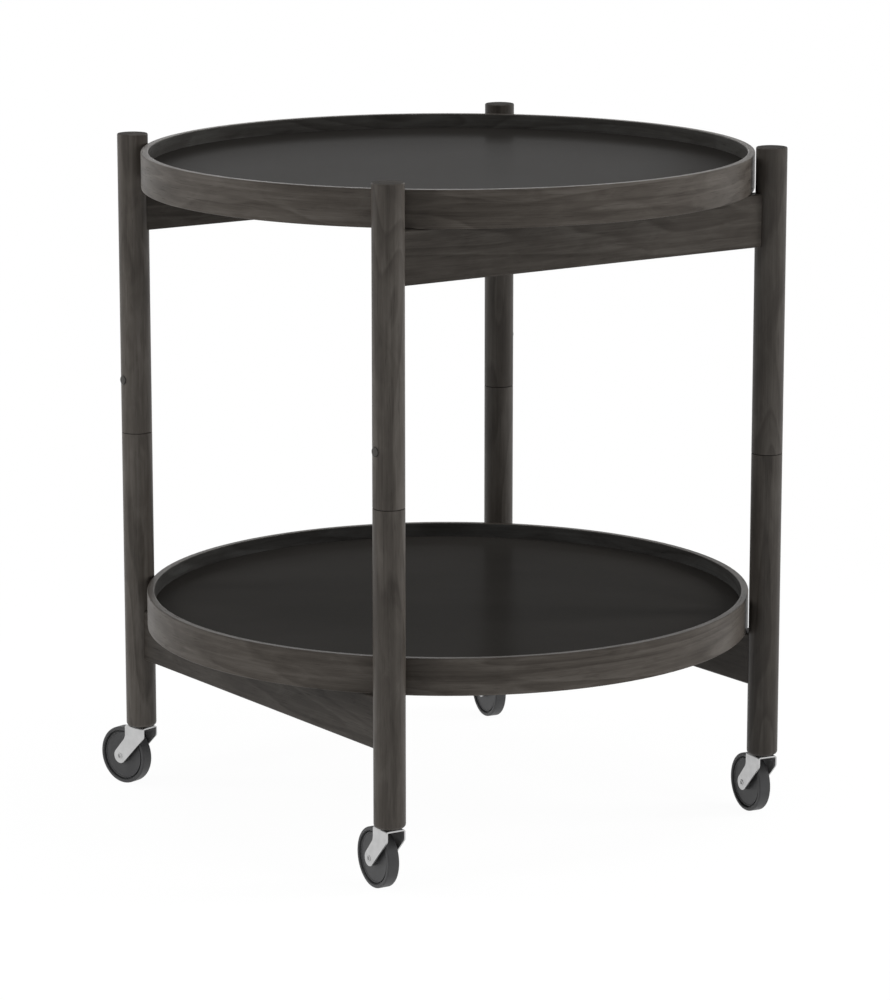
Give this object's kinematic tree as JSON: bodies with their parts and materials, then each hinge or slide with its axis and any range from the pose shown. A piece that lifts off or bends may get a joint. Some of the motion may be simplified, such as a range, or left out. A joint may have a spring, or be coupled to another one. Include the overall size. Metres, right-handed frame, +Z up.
{
  "type": "folding tray table",
  "caption": "Folding tray table on casters: round lift-out trays with raised rims rest on rails between split round legs that pivot at mid-height.",
  "frame": {"origin": "on the floor, under the middle of the trays", "axes": "+Z up, +X along the front rail from the front left leg to the front right leg, +Y towards the rear legs"},
  "size_m": [0.4999, 0.5, 0.5581],
  "materials": {
    "oak": "dark stained open-grain oak, satin",
    "laminate": "dark laminate over board, semi-gloss",
    "steel": "plain steel",
    "dark_steel": "blackened steel",
    "zinc": "bright zinc plated",
    "wheel_plastic": "dark grey, slightly rough"
  },
  "bodies": {
    "left_frame": {"lower_leg_front_left": "oak", "lower_leg_rear_left": "oak", "lower_rail_left": "oak", "socket_front_left": "zinc", "stem_front_left": "zinc", "washer_front_left": "zinc", "socket_rear_left": "zinc", "stem_rear_left": "zinc", "washer_rear_left": "zinc"},
    "front_frame": {"upper_leg_front_left": "oak", "upper_leg_front_right": "oak", "upper_rail_front": "oak", "pivot_pin_front_left": "steel", "pivot_pin_front_right": "steel", "cross_pins_front": "dark_steel"},
    "right_frame": {"lower_leg_front_right": "oak", "lower_leg_rear_right": "oak", "lower_rail_right": "oak", "socket_front_right": "zinc", "stem_front_right": "zinc", "washer_front_right": "zinc", "socket_rear_right": "zinc", "stem_rear_right": "zinc", "washer_rear_right": "zinc"},
    "rear_frame": {"upper_leg_rear_left": "oak", "upper_leg_rear_right": "oak", "upper_rail_rear": "oak", "pivot_pin_rear_left": "steel", "pivot_pin_rear_right": "steel", "cross_pins_rear": "dark_steel"},
    "upper_tray": {"upper_tray_rim": "oak", "upper_tray_base": "laminate"},
    "lower_tray": {"lower_tray_rim": "oak", "lower_tray_base": "laminate"},
    "caster_front_left": {"fork_front_left": "zinc", "axle_front_left": "zinc"},
    "roller_front_left": {"wheel_front_left": "wheel_plastic"},
    "caster_front_right": {"fork_front_right": "zinc", "axle_front_right": "zinc"},
    "roller_front_right": {"wheel_front_right": "wheel_plastic"},
    "caster_rear_right": {"fork_rear_right": "zinc", "axle_rear_right": "zinc"},
    "roller_rear_right": {"wheel_rear_right": "wheel_plastic"},
    "caster_rear_left": {"fork_rear_left": "zinc", "axle_rear_left": "zinc"},
    "roller_rear_left": {"wheel_rear_left": "wheel_plastic"}
  },
  "joints": [
    {"name": "fold_front_left", "type": "hinge", "parent": "left_frame", "child": "front_frame", "pos_m": [-0.18696, -0.18696, 0.3073], "axis": [0, 0, 1], "range_deg": [-0.3, 0.3]},
    {"name": "fold_front_right", "type": "hinge", "parent": "front_frame", "child": "right_frame", "pos_m": [0.18696, -0.18696, 0.3073], "axis": [0, 0, 1], "range_deg": [-0.3, 0.3]},
    {"name": "fold_rear_left", "type": "hinge", "parent": "left_frame", "child": "rear_frame", "pos_m": [-0.18696, 0.18696, 0.3073], "axis": [0, 0, 1], "range_deg": [-0.3, 0.3]},
    {"name": "upper_tray_lift", "type": "slide", "parent": "front_frame", "child": "upper_tray", "axis": [0, 0, 1], "range_m": [0, 0.08]},
    {"name": "lower_tray_lift", "type": "slide", "parent": "left_frame", "child": "lower_tray", "axis": [0, 0, 1], "range_m": [0, 0.29]},
    {"name": "swivel_front_left", "type": "hinge", "parent": "left_frame", "child": "caster_front_left", "pos_m": [-0.18696, -0.18696, 0.0532], "axis": [0, 0, 1], "continuous": true},
    {"name": "roll_front_left", "type": "hinge", "parent": "caster_front_left", "child": "roller_front_left", "pos_m": [-0.1857, -0.169, 0.0245], "axis": [-0.9976, 0.0698, 0], "continuous": true},
    {"name": "swivel_front_right", "type": "hinge", "parent": "right_frame", "child": "caster_front_right", "pos_m": [0.18696, -0.18696, 0.0532], "axis": [0, 0, 1], "continuous": true},
    {"name": "roll_front_right", "type": "hinge", "parent": "caster_front_right", "child": "roller_front_right", "pos_m": [0.18977, -0.16918, 0.0245], "axis": [-0.9877, 0.1564, 0], "continuous": true},
    {"name": "swivel_rear_right", "type": "hinge", "parent": "right_frame", "child": "caster_rear_right", "pos_m": [0.18696, 0.18696, 0.0532], "axis": [0, 0, 1], "continuous": true},
    {"name": "roll_rear_right", "type": "hinge", "parent": "caster_rear_right", "child": "roller_rear_right", "pos_m": [0.18977, 0.20474, 0.0245], "axis": [-0.9877, 0.1564, 0], "continuous": true},
    {"name": "swivel_rear_left", "type": "hinge", "parent": "left_frame", "child": "caster_rear_left", "pos_m": [-0.18696, 0.18696, 0.0532], "axis": [0, 0, 1], "continuous": true},
    {"name": "roll_rear_left", "type": "hinge", "parent": "caster_rear_left", "child": "roller_rear_left", "pos_m": [-0.19192, 0.20426, 0.0245], "axis": [-0.9613, -0.2756, 0], "continuous": true}
  ],
  "couplings": [
    {"joint": "fold_front_right", "follows": "fold_front_left", "ratio": -1},
    {"joint": "fold_rear_left", "follows": "fold_front_left", "ratio": 1}
  ]
}
